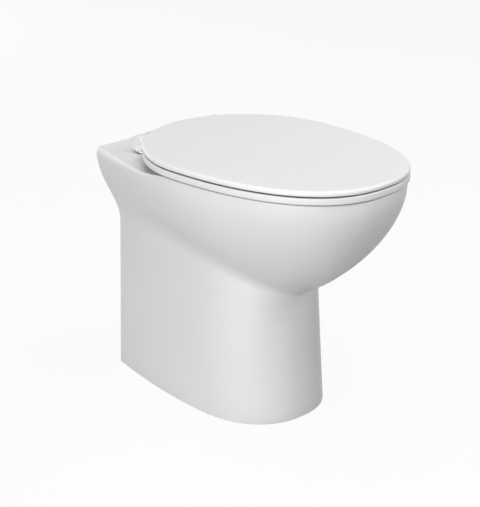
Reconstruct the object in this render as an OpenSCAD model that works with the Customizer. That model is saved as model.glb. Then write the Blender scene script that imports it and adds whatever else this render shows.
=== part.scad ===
/* [Overall] */
// Depth from the wall face to the front edge of the seat
overall_d = 528; // [508:1:548]
// Distance from the wall face to the widest place of the rim
widest_from_wall = 240; // [230:1:250]

/* [Pan outside] */
// Height of the deck behind the seat
deck_h = 403; // [393:1:423]
// Rise of the rim above the deck
rim_rise = 12; // [9:0.5:14]
// Width of the pan at its rim
rim_w = 337; // [327:1:347]
// Width of the deck at the wall
deck_w = 231; // [225:1:241]
// Roundness of the front outline of the rim, where 2 is an ellipse
rim_power = 2.35; // [2.2:0.05:2.5]
// Radius of the outer edge of the rim
rim_edge_r = 5; // [4:0.5:7]
// Width of the foot at its widest
foot_w = 219; // [209:1:229]
// Width of the foot at the wall
foot_back_w = 151; // [147:1:161]
// Length of the foot in front of its widest place
foot_front = 132; // [124:1:140]
// Height of the belly's outside at the wall
belly_back_h = 159; // [152:1:166]
// Height of the belly's outside at the side
belly_side_h = 177; // [170:1:184]
// Height of the belly's outside at the front
belly_front_h = 218; // [210:1:226]
// Size of the hollow blend between belly and foot at the wall
blend_back = 33; // [24:1:40]
// Size of the hollow blend between belly and foot at the front
blend_front = 17; // [10:1:24]

/* [Pan inside] */
// Wall of the skirt
skirt_wall = 11; // [9:0.5:12]
// Wall of the bowl
bowl_wall = 9; // [8:0.5:10]
// Width of the bowl's opening
bowl_w = 268; // [258:1:276]
// Width of the rim at its front
rim_front_w = 32; // [28:1:38]
// Length of the bowl's opening behind its widest place
bowl_back = 121; // [114:1:126]
// Radius of the inner edge of the rim
rim_inner_r = 10; // [7:0.5:12]
// Height of the water above the floor
water_h = 190; // [186:1:196]
// Depth of the sump below the water
sump_d = 112; // [104:1:118]
// Radius of the sump
sump_r = 57; // [53:1:60]
// Thickness of the deck
deck_t = 15; // [12:1:18]

/* [Outlet and inlet] */
// Height of the outlet above the floor
outlet_h = 185; // [180:1:190]
// Outer diameter of the outlet spigot
outlet_d = 102; // [98:1:104]
// Wall of the trapway
trap_wall = 10; // [8:0.5:12]
// Bore of the trapway
trap_bore = 72; // [68:1:75]
// Length of the spigot
spigot_len = 50; // [44:1:56]
// Height of the flush inlet above the floor
inlet_h = 335; // [331:1:339]
// Diameter of the flush inlet
inlet_d = 55; // [50:1:56]
// Depth of the flush inlet socket
inlet_len = 48; // [42:1:54]
// Width of the flush slot in the bowl
slot_w = 70; // [60:1:76]
// Height of the flush slot in the bowl
slot_h = 20; // [16:1:22]

/* [Floor fixing] */
// Distance between the two floor screws
floor_span = 120; // [114:1:124]
// Distance of the floor screws from the wall
floor_from_wall = 42; // [38:1:50]
// Diameter of the floor screw holes
floor_hole_d = 8.5; // [7:0.5:10]

/* [Seat and cover] */
// Overhang of the seat past the rim
seat_over = 2.5; // [1:0.5:4]
// Gap between the rim and the seat
seat_gap = 2.5; // [2:0.5:4]
// Thickness of the seat
seat_t = 10.5; // [9:0.5:12]
// Gap between the seat and the cover
cover_gap = 2.5; // [2:0.5:3.5]
// Thickness of the cover at its edge
cover_t = 8; // [7.5:0.5:9]
// Width of the hole in the seat
seat_hole_w = 212; // [202:1:224]
// Width of the seat ring at its front
seat_front_w = 66; // [60:1:74]
// Width of the seat ring at its back
seat_back_w = 85; // [79:1:91]

/* [Hinges] */
// Distance between the two seat fixing holes
fixing_span = 155; // [150:1:160]
// Distance of the hinge axis from the wall
hinge_from_wall = 75; // [72:1:80]
// Lift of the hinge axis above the middle between deck and cover top
hinge_lift = 1.95; // [1.75:0.1:2.75]
// Diameter of the lugs of seat and cover
barrel_d = 24; // [22.5:0.5:25]
// Diameter of the hinge posts
post_d = 26.8; // [25.6:0.2:27.6]
// Length of a hinge post barrel
post_len = 27; // [25:1:29]
// Length of a seat lug
seat_lug_len = 15.7; // [14:0.5:17]
// Length of a cover lug
cover_lug_len = 16.5; // [15.5:0.5:18]
// Running gap between neighbouring barrels
barrel_gap = 0.3; // [0.2:0.05:0.5]
// Diameter of the pivot pin
pin_d = 8; // [6:0.5:8.5]
// Diameter of the damper cartridge
damper_d = 18; // [17:0.5:18.5]
// Diameter of the damper rotor
rotor_d = 11; // [10:0.25:11.5]
// Diameter of the fixing bolt
bolt_d = 8; // [6:0.5:8.5]
// Diameter of the seat fixing hole in the deck
fixing_hole_d = 14; // [13:0.5:16]

/* [Hidden] */
$fn = 48;

// Frame: the wall face is at the back, the floor is at zero
wall_y = overall_d / 2;
mid_y = wall_y - widest_from_wall;
rim_h = deck_h + rim_rise;

// Rays that make the pan's skins: stations along the side, then a fan round the front
side_n = 14;
fan_n = 26;
last = side_n + fan_n;
side_share = 0.45;
side_bend = 1.25;
foot_bend = 1.8;
foot_power = 2.3;
side_lean = 0.032;
front_lean = 0.067;
belly_drop = 10;
belly_bend_back = 1.85;
belly_bend_front = 1.62;
belly_power_back = 1.27;
belly_power_front = 1.9;
ramp_start = mid_y + 6;
ramp_end = mid_y + 96;

function mix(a, b, t) = a + (b - a) * t;
function clamp(v) = max(0, min(1, v));
function smooth(v) = let(c = clamp(v)) c * c * (3 - 2 * c);
function egg(a, b, n, ang) = pow(pow(abs(cos(ang) / a), n) + pow(abs(sin(ang) / b), n), -1 / n);
function bend3(a, b, c, t) = a * (t - side_share) * (t - 1) / side_share
  + b * t * (t - 1) / (side_share * (side_share - 1))
  + c * t * (t - side_share) / (1 - side_share);
function soft_max(a, b, k) = let(h = max(k - abs(a - b), 0) / k) max(a, b) + h * h * k / 4;

function on_side(i) = i <= side_n;
function ray_s(i) = on_side(i) ? 1 - i / side_n : 0;
function ray_a(i) = on_side(i) ? 0 : 90 * (i - side_n) / fan_n;
function ray_t(i) = on_side(i) ? side_share * i / side_n : mix(side_share, 1, (i - side_n) / fan_n);

// Outside of the pan: the foot's column and the belly, blended
function column(i, z) = on_side(i)
  ? mix(foot_w / 2, foot_back_w / 2, pow(ray_s(i), foot_bend)) - side_lean * z
  : egg(foot_w / 2, foot_front, foot_power, ray_a(i)) - mix(side_lean, front_lean, pow(sin(ray_a(i)), 2)) * z;
rim_front = mid_y + wall_y - seat_over;
function rim_r(i) = on_side(i)
  ? mix(rim_w / 2, deck_w / 2, pow(ray_s(i), side_bend))
  : egg(rim_w / 2, rim_front, rim_power, ray_a(i));
function belly(i, z) = let(t = ray_t(i),
  u = clamp((rim_h - belly_drop - z) / bend3(belly_back_h, belly_side_h, belly_front_h, t)))
  rim_r(i) * pow(max(0, 1 - pow(u, mix(belly_bend_back, belly_bend_front, t))),
  1 / mix(belly_power_back, belly_power_front, t));
function skin(i, z) = soft_max(column(i, z), belly(i, z), mix(blend_back, blend_front, ray_t(i)));
function top_z(y) = mix(rim_h, deck_h, smooth((y - ramp_start) / (ramp_end - ramp_start)));
function station_y(i, back) = mix(mid_y, back, ray_s(i));

// Inside of the bowl: a fan of rays all round
back_turn = 87;
bowl_bend_side = 1.3;
bowl_bend_front = 1.8;
bowl_power = 1.15;
bowl_back_power = 2.1;
function bowl_a(i) = on_side(i) ? -back_turn * ray_s(i) : ray_a(i);
function bowl_rim(i) = on_side(i)
  ? egg(bowl_w / 2, bowl_back, bowl_back_power, bowl_a(i))
  : egg(bowl_w / 2, rim_front - rim_front_w, rim_power, ray_a(i));
function bowl_y(i, r) = mid_y - r * sin(bowl_a(i));
function bowl_top(i) = top_z(bowl_y(i, bowl_rim(i)));
function bowl_r(i, z) = let(top = bowl_top(i) - rim_inner_r,
  w = clamp((z - water_h) / (top - water_h)),
  p = mix(bowl_bend_side, bowl_bend_front, pow(max(0, sin(bowl_a(i))), 2)),
  d = clamp((water_h - z) / sump_d))
  z >= water_h ? mix(sump_r, bowl_rim(i), pow(1 - pow(1 - w, p), 1 / bowl_power))
  : sump_r * sqrt(1 - pow(d, 3));
sump_z = water_h - sump_d;
// Underside of the bowl and of the sump
wall_ease = 20;
function under_r(i, z) = z >= water_h
  ? bowl_r(i, z + bowl_wall * clamp((z - water_h) / wall_ease)) + bowl_wall
  : (sump_r + bowl_wall) * sqrt(1 - pow(clamp((water_h - z) / (sump_d + bowl_wall)), 3));

// Top of the hollow inside the skirt, ray by ray, rising to the deck's underside
hollow_front = 195;
hollow_side = 220;
hollow_top = deck_h - deck_t;
rise_start = mid_y + 50;
rise_len = 110;
function hollow_z(i) = mix(mix(hollow_side, hollow_front, smooth(ray_a(i) / 90)), hollow_top,
  smooth((station_y(i, wall_y) - rise_start) / rise_len));

function flip(p) = [-p[0], p[1], p[2]];
function both_sides(half) = concat(half, [for (i = [len(half) - 2:-1:0]) flip(half[i])]);
function side_point(i, r, z, back) = on_side(i)
  ? [r, station_y(i, back), z]
  : [r * cos(ray_a(i)), mid_y - r * sin(ray_a(i)), z];
function bowl_point(i, r, z) = [r * cos(bowl_a(i)), bowl_y(i, r), z];

foot_chamfer = 2;
low_steps = 3;
seam_steps = 8;
high_steps = 10;
seam_reach = 30;
edge_steps = 4;
bowl_steps = 12;
sump_steps = 5;
hollow_steps = 11;
hollow_low = 0.35;
under_steps = 5;
function edge_z(i) = top_z(station_y(i, wall_y)) - rim_edge_r;
// Height where belly and foot meet; the rings lie closest there
function seam_z(i) = let(t = ray_t(i)) rim_h - belly_drop
  - bend3(belly_back_h, belly_side_h, belly_front_h, t)
  * pow(1 - pow(column(i, rim_h / 2) / rim_r(i), mix(belly_power_back, belly_power_front, t)),
  1 / mix(belly_bend_back, belly_bend_front, t));
function outer_z(i, k) = k <= low_steps
  ? mix(foot_chamfer, seam_z(i) - seam_reach, k / low_steps)
  : k <= low_steps + seam_steps
  ? seam_z(i) + seam_reach * (2 * (k - low_steps) / seam_steps - 1)
  : mix(seam_z(i) + seam_reach, edge_z(i), (k - low_steps - seam_steps) / high_steps);
function hollow_share(k) = k == 0 ? 0 : mix(hollow_low, 1, (k - 1) / (hollow_steps - 1));

// Rings from under the sump to the hollow's roof, down to the floor, up the outside and into the bowl
under_rings = [
  for (k = [sump_steps - 1:-1:0]) both_sides([for (i = [0:last])
    let(z = water_h - (sump_d + bowl_wall) * sin(90 * k / sump_steps)) bowl_point(i, under_r(i, z), z)]),
  for (k = [1:under_steps]) both_sides([for (i = [0:last])
    let(z = mix(water_h, hollow_z(i), k / under_steps)) bowl_point(i, under_r(i, z), z)])];
hollow_rings = [for (k = [hollow_steps:-1:0]) both_sides([for (i = [0:last])
  let(z = hollow_z(i) * hollow_share(k))
  side_point(i, skin(i, z) - skirt_wall, z, wall_y - skirt_wall)])];
foot_ring = [both_sides([for (i = [0:last]) side_point(i, skin(i, 0) - foot_chamfer, 0, wall_y)])];
outer_rings = [for (k = [0:low_steps + seam_steps + high_steps]) both_sides([for (i = [0:last])
  let(z = outer_z(i, k)) side_point(i, skin(i, z), z, wall_y)])];
edge_rings = [for (k = [1:edge_steps]) both_sides([for (i = [0:last])
  let(a = 90 * k / edge_steps, z = edge_z(i))
  side_point(i, skin(i, z) - rim_edge_r * (1 - cos(a)), z + rim_edge_r * sin(a), wall_y)])];
lip_rings = [for (k = [0:edge_steps]) both_sides([for (i = [0:last])
  let(a = 90 * k / edge_steps)
  bowl_point(i, bowl_rim(i) + rim_inner_r * (1 - sin(a)), bowl_top(i) - rim_inner_r * (1 - cos(a)))])];
bowl_rings = [for (k = [1:bowl_steps]) both_sides([for (i = [0:last])
  let(z = mix(bowl_top(i) - rim_inner_r, water_h, k / bowl_steps)) bowl_point(i, bowl_r(i, z), z)])];
sump_rings = [for (k = [1:sump_steps - 1]) both_sides([for (i = [0:last])
  let(z = water_h - sump_d * sin(90 * k / sump_steps)) bowl_point(i, bowl_r(i, z), z)])];

function flat(rings) = [for (r = rings) each r];
// A skin through rings, closed by a point at each end
module lofted(rings, first_point, end_point) {
  n = len(rings[0]);
  m = len(rings);
  points = concat([first_point], flat(rings), [end_point]);
  start = [for (j = [0:n - 1]) [0, 1 + (j + 1) % n, 1 + j]];
  end = [for (j = [0:n - 1]) [m * n + 1, 1 + (m - 1) * n + j, 1 + (m - 1) * n + (j + 1) % n]];
  walls = [for (k = [0:m - 2], j = [0:n - 1])
    let(a = 1 + k * n + j, b = 1 + k * n + (j + 1) % n)
    each [[a, b, a + n], [b, b + n, a + n]]];
  polyhedron(points, concat(start, walls, end), convexity = 10);
}

module pan_skin() {
  lofted(concat(under_rings, hollow_rings, foot_ring, outer_rings, edge_rings, lip_rings,
    bowl_rings, sump_rings), [0, mid_y, sump_z - bowl_wall], [0, mid_y, sump_z]);
}

// Places that several pieces share
seat_y = mid_y - 5;
seat_z = rim_h + seat_gap;
seat_top = seat_z + seat_t;
cover_z = seat_top + cover_gap;
cover_top = cover_z + cover_t;
hinge_y = wall_y - hinge_from_wall;
hinge_z = (deck_h + cover_top) / 2 + hinge_lift;
barrel_r = barrel_d / 2;
gasket_t = 1;
plate_t = 2.4;
plate_d = 25;
plate_z = deck_h + gasket_t;
post_z = plate_z + plate_t;
post_rest = 0.1;
post_mid_z = post_z + post_rest + post_d / 2;
post_x = fixing_span / 2 - post_len / 2;
post_end = post_x + post_len;
seat_lug_end = post_x - barrel_gap;
seat_lug_x = seat_lug_end - seat_lug_len;
cover_lug_end = seat_lug_x - barrel_gap;
cover_lug_x = cover_lug_end - cover_lug_len;
fit = 0.04;
over = 1;

// A straight rod between two points of the pan's middle plane
module rod(from, to, d) {
  run = to - from;
  translate(from)
    rotate([-atan2(run[1], run[2]), 0, 0])
      cylinder(d = d, h = norm(run));
}
// A block given by its low and high corners
module block(low, high) translate(low) cube(high - low);
// A rod along the hinge line between two places
module on_axis(from, to, d) {
  translate([from, hinge_y, hinge_z])
    rotate([0, 90, 0])
      cylinder(d = d, h = to - from);
}
module mirrored() {
  children();
  mirror([1, 0, 0]) children();
}
// Places a right hand piece on the left
module left() mirror([1, 0, 0]) children();

// Trapway: back from the sump, up to the weir and down to the spigot
trap_enter = 18;
trap_reach = 86;
trap_back = 126;
trap_lift = 4;
weir_drop = 2;
outlet_short = 5;
spigot_root = 12;
trap_z = sump_z + trap_bore / 2 + trap_lift;
trap_in = [0, mid_y + trap_enter, trap_z];
trap_turn = [0, mid_y + trap_reach, trap_z];
trap_weir = [0, mid_y + trap_back, water_h + trap_bore / 2 - weir_drop];
trap_out = [0, wall_y - outlet_short, outlet_h];
trap_down = trap_out - [0, spigot_len + spigot_root, 0];
elbow_swell = 3;
trap_root = 4;
// Middle of the bowl's wall at the back, which keeps the tubes out of the bowl
core_steps = 12;
core_over = 100;
core_top = water_h + core_over;
core_low = sump_z - bowl_wall / 2;
function core_r(z) = (bowl_r(0, max(z, sump_z)) + under_r(0, z)) / 2;
module bowl_core() translate([0, mid_y, 0])
  rotate_extrude()
    polygon([[0, core_low], for (k = [0:core_steps])
      let(z = mix(core_low, core_top, k / core_steps)) [core_r(z), z], [0, core_top]]);
module trap_tubes() difference() {
  outer = trap_bore + 2 * trap_wall;
  union() {
    rod(trap_in - [0, trap_root, 0], trap_turn, outer);
    translate(trap_turn) sphere(d = outer + elbow_swell);
    rod(trap_turn, trap_weir, outer);
    translate(trap_weir) sphere(d = outer + elbow_swell);
    rod(trap_weir, trap_down, outer);
    translate(trap_down) sphere(d = outer + elbow_swell);
    rod(trap_down, trap_out, outer);
    rod(trap_out - [0, spigot_len, 0], trap_out, outlet_d);
  }
  bowl_core();
}
module trap_bores() {
  rod(trap_in, trap_turn, trap_bore);
  translate(trap_turn) sphere(d = trap_bore + elbow_swell);
  rod(trap_turn, trap_weir, trap_bore);
  translate(trap_weir) sphere(d = trap_bore + elbow_swell);
  rod(trap_weir, trap_down, trap_bore);
  translate(trap_down) sphere(d = trap_bore + elbow_swell);
  rod(trap_down, trap_out + [0, spigot_len, 0], trap_bore);
}

// Flush inlet: a socket in the back, a rising chamber and the slot under the rim
inlet_wall = 9;
channel_d = inlet_d - 10;
bowl_back_y = mid_y + bowl_back;
chamber_y = bowl_back_y + 15;
chamber_len = 36;
slot_top = deck_h - 21;
slot_z = slot_top - slot_h;
module inlet_body() {
  rod([0, bowl_back_y + over, inlet_h], [0, wall_y - skirt_wall / 2, inlet_h], inlet_d + 2 * inlet_wall);
  block([-slot_w / 2 - inlet_wall, chamber_y - inlet_wall, inlet_h],
    [slot_w / 2 + inlet_wall, chamber_y + chamber_len + inlet_wall, hollow_top + over]);
}
module inlet_bores() {
  rod([0, wall_y - inlet_len, inlet_h], [0, wall_y + over, inlet_h], inlet_d);
  rod([0, chamber_y + chamber_len / 2, inlet_h], [0, wall_y - inlet_len + over, inlet_h], channel_d);
  block([-slot_w / 2, chamber_y, inlet_h], [slot_w / 2, chamber_y + chamber_len, slot_top]);
  block([-slot_w / 2, bowl_back_y - 20, slot_z], [slot_w / 2, chamber_y + over, slot_top]);
}

// Opening at the back for the pipes, and the two lugs for the floor screws
back_opening_w = foot_back_w - 2 * skirt_wall - 9;
back_opening_h = 262;
back_corner = 24;
floor_lug_h = 14;
floor_lug_w = 28;
floor_lug_out = 18;
module back_opening() {
  w = back_opening_w / 2;
  translate([0, wall_y + over, 0])
    rotate([90, 0, 0])
      linear_extrude(skirt_wall + 3 * over)
        polygon([[-w, -over], [w, -over], [w, back_opening_h - back_corner],
          [w - back_corner, back_opening_h], [back_corner - w, back_opening_h],
          [-w, back_opening_h - back_corner]]);
}
module floor_lug() {
  block([floor_span / 2 - floor_lug_w / 2, wall_y - floor_from_wall - floor_lug_w / 2, 0],
    [floor_span / 2 + floor_lug_out, wall_y - floor_from_wall + floor_lug_w / 2, floor_lug_h]);
}
module pan_body() difference() {
  union() {
    difference() {
      pan_skin();
      back_opening();
    }
    trap_tubes();
    inlet_body();
    mirrored() floor_lug();
  }
  trap_bores();
  inlet_bores();
  mirrored() translate([floor_span / 2, wall_y - floor_from_wall, -over])
    cylinder(d = floor_hole_d, h = floor_lug_h + 2 * over);
  mirrored() translate([fixing_span / 2, hinge_y, hollow_top - over])
    cylinder(d = fixing_hole_d, h = deck_t + 2 * over);
}

// The china body as two solids that meet in a plane between the seat fixings and the pipe sockets
split_from_wall = 57;
split_y = wall_y - split_from_wall;
module behind_split() block([-rim_w, split_y, -over], [rim_w, wall_y + over, rim_h + over]);
module pan() color("white") difference() {
  pan_body();
  behind_split();
}
module pan_back() color("white") intersection() {
  pan_body();
  behind_split();
}

// Guide that splits the flush to both sides, pressed into the slot
guide_play = 0.3;
guide_rib = 3;
guide_len = 14;
module flush_guide() color("gainsboro") {
  w = slot_w / 2 - guide_play;
  low = slot_z + guide_play;
  high = slot_top - guide_play;
  front = bowl_back_y - 2;
  difference() {
    block([-w, front, low], [w, front + guide_len, high]);
    mirrored() block([2 * guide_rib, front - over, low + guide_rib],
      [w - guide_rib, front + guide_len + over, high - guide_rib]);
  }
}

// Seat and cover share one egg outline that overhangs the rim
seat_power = 2.38;
seat_tail_power = 1.93;
tail_over = 7;
seat_tail = hinge_y + tail_over - seat_y;
hole_power = 2.15;
egg_n = 96;
function ring_of(inset, z) = [for (j = [0:egg_n - 1])
  let(a = 360 * j / egg_n, half = rim_w / 2 + seat_over - inset,
  r = a < 180 ? egg(half, seat_y + wall_y - inset, seat_power, a)
    : egg(half, seat_tail - inset, seat_tail_power, a))
  [r * cos(a), seat_y - r * sin(a), z]];
function hole_of(outset, z) = [for (j = [0:egg_n - 1])
  let(a = 360 * j / egg_n,
  long = a < 180 ? seat_y + wall_y - seat_front_w : seat_tail - seat_back_w,
  r = egg(seat_hole_w / 2 + outset, long + outset, hole_power, a))
  [r * cos(a), seat_y - r * sin(a), z]];

plastic_low_r = 1.5;
seat_edge_r = 2;
seat_inner_r = 5;
seat_dish = 2;
seat_dish_w = 22;
round_steps = 3;
seat_rings = [
  for (k = [0:round_steps]) let(a = 90 * k / round_steps)
    ring_of(plastic_low_r * (1 - sin(a)), seat_z + plastic_low_r * (1 - cos(a))),
  for (k = [0:round_steps]) let(a = 90 * k / round_steps)
    ring_of(seat_edge_r * (1 - cos(a)), seat_top - seat_edge_r * (1 - sin(a))),
  hole_of(seat_dish_w, seat_top),
  for (k = [0:round_steps]) let(a = 90 * k / round_steps)
    hole_of(seat_inner_r * (1 - sin(a)), seat_top - seat_dish - seat_inner_r * (1 - cos(a))),
  for (k = [0:round_steps]) let(a = 90 * k / round_steps)
    hole_of(plastic_low_r * (1 - cos(a)), seat_z + plastic_low_r * (1 - sin(a)))];

// A skin through rings that closes on itself
module ring_lofted(rings) {
  n = len(rings[0]);
  m = len(rings);
  faces = [for (k = [0:m - 1], j = [0:n - 1])
    let(next = (j + 1) % n, up = ((k + 1) % m) * n, a = k * n + j, b = k * n + next)
    each [[a, b, up + j], [b, up + next, up + j]]];
  polyhedron(flat(rings), faces, convexity = 10);
}

lug_play = 0.6;
lug_floor = 2.3;
damper_len = min(seat_lug_len, cover_lug_len) - lug_floor;
pocket_len = damper_len + 2 * fit;
bush_d = rotor_d;
pin_play = 0.2;
clear_y = hinge_y - max(barrel_r, post_d / 2) - lug_play;
plate_back = wall_y;
module seat() color("white") difference() {
  union() {
    difference() {
      ring_lofted(seat_rings);
      block([-seat_lug_x, clear_y, seat_z - over], [seat_lug_x, plate_back, seat_top + over]);
      mirrored() block([seat_lug_end, clear_y, seat_z - over],
        [post_end + over, plate_back, seat_top + over]);
    }
    mirrored() on_axis(seat_lug_x, seat_lug_end, barrel_d);
  }
  left() on_axis(seat_lug_x - over, seat_lug_end + over, bush_d + fit);
  on_axis(seat_lug_end - pocket_len, seat_lug_end + over, damper_d + fit);
  on_axis(seat_lug_x - over, seat_lug_end, pin_d + 2 * pin_play);
}

// Pads under the seat rest on the rim, pads under the cover rest on the seat
pad_gap = 0.3;
seat_pad_d = 12;
seat_pad_angles = [5, 55];
cover_pad_d = 11;
cover_pad_angles = [25, 62];
cover_pad_inset = 26;
function land_r(a) = egg(bowl_w / 2 + rim_inner_r, rim_front - rim_front_w + rim_inner_r, rim_power, a)
  + seat_pad_d / 2 - 2;
module seat_buffers() color("lightgray") mirrored()
  for (a = seat_pad_angles)
    translate([land_r(a) * cos(a), mid_y - land_r(a) * sin(a), rim_h + pad_gap])
      cylinder(d = seat_pad_d, h = seat_gap - pad_gap);
module cover_buffers() color("lightgray") mirrored()
  for (a = cover_pad_angles)
    translate([pad_r(a) * cos(a), seat_y - pad_r(a) * sin(a), seat_top + pad_gap])
      cylinder(d = cover_pad_d, h = cover_gap + cover_recess - pad_gap);
function pad_r(a) = egg(rim_w / 2 + seat_over - cover_pad_inset,
  seat_y + wall_y - cover_pad_inset, seat_power, a);

cover_edge_r = 5;
cover_recess = 2.5;
cover_lip = 13;
cover_crown = 1.2;
crown_insets = [30, 70, 115];
cover_low_r = 1;
cover_web_w = 9;
// Height over the hinge line up to which the cover is cut away for the posts
cover_over = 14;
cover_rings = [
  ring_of(cover_lip + cover_recess, cover_z + cover_recess),
  ring_of(cover_lip, cover_z),
  for (k = [0:round_steps]) let(a = 90 * k / round_steps)
    ring_of(cover_low_r * (1 - sin(a)), cover_z + cover_low_r * (1 - cos(a))),
  for (k = [0:round_steps + 1]) let(a = 90 * k / (round_steps + 1))
    ring_of(cover_edge_r * (1 - cos(a)), cover_top - cover_edge_r * (1 - sin(a))),
  for (inset = crown_insets) ring_of(inset, cover_top + cover_crown * smooth(inset / crown_insets[2]))];
module cover() color("white") difference() {
  union() {
    difference() {
      lofted(cover_rings, [0, seat_y, cover_z + cover_recess], [0, seat_y, cover_top + cover_crown]);
      mirrored() block([cover_lug_end, clear_y, cover_z - over],
        [post_end + over, plate_back, hinge_z + cover_over]);
    }
    mirrored() on_axis(cover_lug_x, cover_lug_end, barrel_d);
    mirrored() block([cover_lug_x, hinge_y - cover_web_w, hinge_z],
      [cover_lug_end, hinge_y, cover_z + cover_recess + over]);
  }
  on_axis(cover_lug_end - pocket_len, cover_lug_end + over, bush_d + fit);
  left() on_axis(cover_lug_end - pocket_len, cover_lug_end + over, damper_d + fit);
}

// Hinge post: a barrel on a narrow foot that stands on its plate, with the pin above its middle
foot_len = 22;
foot_wide = 12;
stud_depth = 8;
end_chamfer = 1.5;
pin_end_wall = 3;
screw_d = 4;
screw_inset = 2;
module hinge_post() color("whitesmoke") difference() {
  union() {
    translate([post_x, hinge_y, post_mid_z])
      rotate([0, 90, 0])
        rotate_extrude()
          polygon([[0, 0], [post_d / 2, 0], [post_d / 2, post_len - end_chamfer],
            [post_d / 2 - end_chamfer, post_len], [0, post_len]]);
    block([fixing_span / 2 - foot_len / 2, hinge_y - foot_wide / 2, post_z],
      [fixing_span / 2 + foot_len / 2, hinge_y + foot_wide / 2, post_mid_z]);
  }
  on_axis(post_x - over, post_end - pin_end_wall, pin_d + fit);
  translate([fixing_span / 2, hinge_y, post_z - over])
    cylinder(d = bolt_d + fit, h = stud_depth + over);
  translate([fixing_span / 2, hinge_y + pin_d / 2 - over, hinge_z])
    rotate([-90, 0, 0])
      cylinder(d = screw_d + fit, h = post_d / 2);
}
module hinge_post_left() left() hinge_post();
module hinge_post_right() hinge_post();

// A round piece on the line of a fixing hole
module at_fixing(z) translate([fixing_span / 2, hinge_y, z]) children();
module washer_disc(outer, inner, t) difference() {
  cylinder(d = outer, h = t);
  translate([0, 0, -over]) cylinder(d = inner, h = t + 2 * over);
}
module base_plate() color("silver") at_fixing(plate_z) washer_disc(plate_d, bolt_d + 2 * pin_play, plate_t);
module base_plate_left() left() base_plate();
module base_plate_right() base_plate();
module base_gasket() color("dimgray") at_fixing(deck_h)
  washer_disc(plate_d, bolt_d + 2 * pin_play, gasket_t);
module base_gasket_left() left() base_gasket();
module base_gasket_right() base_gasket();

clamp_d = 32;
clamp_t = 3.5;
nut_h = 10;
nut_d = 17;
wing_t = 3;
wing_w = 34;
stud_tail = 6;
clamp_z = hollow_top - clamp_t;
nut_z = clamp_z - nut_h;
stud_play = 0.1;
module fixing_bolt() color("silver") at_fixing(nut_z - stud_tail)
  cylinder(d = bolt_d, h = post_z + stud_depth - stud_play - nut_z + stud_tail);
module fixing_bolt_left() left() fixing_bolt();
module fixing_bolt_right() fixing_bolt();
module rubber_sleeve() color("black") at_fixing(hollow_top)
  washer_disc(fixing_hole_d - pin_play, bolt_d + pin_play, deck_t);
module rubber_sleeve_left() left() rubber_sleeve();
module rubber_sleeve_right() rubber_sleeve();
module clamp_washer() color("white") at_fixing(clamp_z) washer_disc(clamp_d, bolt_d + 2 * pin_play, clamp_t);
module clamp_washer_left() left() clamp_washer();
module clamp_washer_right() clamp_washer();
module wing_nut() color("white") at_fixing(nut_z) difference() {
  union() {
    cylinder(d = nut_d, h = nut_h);
    block([-wing_w / 2, -wing_t / 2, 0], [wing_w / 2, wing_t / 2, nut_h - 1]);
  }
  translate([0, 0, -over]) cylinder(d = bolt_d + fit, h = nut_h + 2 * over);
}
module wing_nut_left() left() wing_nut();
module wing_nut_right() wing_nut();

// Pins on the hinge line, held in the posts by small screws
module pivot_pin() color("silver")
  on_axis(cover_lug_end - damper_len, post_end - pin_end_wall - pin_play, pin_d);
module pivot_pin_left() left() pivot_pin();
module pivot_pin_right() pivot_pin();
module pin_screw() color("silver")
  translate([fixing_span / 2, hinge_y + pin_d / 2 + pin_play / 2, hinge_z])
    rotate([-90, 0, 0])
      cylinder(d = screw_d, h = (post_d - pin_d) / 2 - screw_inset);
module pin_screw_left() left() pin_screw();
module pin_screw_right() pin_screw();

// Plain bushes on one side, and on the other a damper in each lug with its rotor on the pin
module bush(from, to) difference() {
  on_axis(from, to, bush_d);
  on_axis(from - over, to + over, pin_d + 2 * fit);
}
module seat_bush() color("gainsboro") left() bush(seat_lug_x, seat_lug_end);
module cover_bush() color("gainsboro") bush(cover_lug_end - damper_len, cover_lug_end);
vane_t = 2;
chamber_wall = 2;
module damper(end) difference() {
  on_axis(end - damper_len, end, damper_d);
  on_axis(end - damper_len - over, end + over, rotor_d + 2 * fit);
  on_axis(end - damper_len + chamber_wall, end - chamber_wall, damper_d - 2 * chamber_wall);
}
module rotor(end) difference() {
  union() {
    on_axis(end - damper_len, end, rotor_d);
    intersection() {
      on_axis(end - damper_len + chamber_wall + pin_play, end - chamber_wall - pin_play,
        damper_d - 2 * chamber_wall - 2 * pin_play);
      translate([end - damper_len, hinge_y - damper_d, hinge_z - vane_t / 2])
        cube([damper_len, 2 * damper_d, vane_t]);
    }
  }
  on_axis(end - damper_len - over, end + over, pin_d + fit);
}
module seat_damper() color("dimgray") damper(seat_lug_end);
module seat_damper_rotor() color("silver") rotor(seat_lug_end);
module cover_damper() color("dimgray") left() damper(cover_lug_end);
module cover_damper_rotor() color("silver") left() rotor(cover_lug_end);

pan();
pan_back();
flush_guide();
seat();
seat_buffers();
cover();
cover_buffers();
hinge_post_left();
hinge_post_right();
base_plate_left();
base_plate_right();
base_gasket_left();
base_gasket_right();
fixing_bolt_left();
fixing_bolt_right();
rubber_sleeve_left();
rubber_sleeve_right();
clamp_washer_left();
clamp_washer_right();
wing_nut_left();
wing_nut_right();
pivot_pin_left();
pivot_pin_right();
pin_screw_left();
pin_screw_right();
seat_bush();
cover_bush();
seat_damper();
seat_damper_rotor();
cover_damper();
cover_damper_rotor();
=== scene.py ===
import math
import bmesh
import bpy
from mathutils import Matrix, Vector


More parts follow.
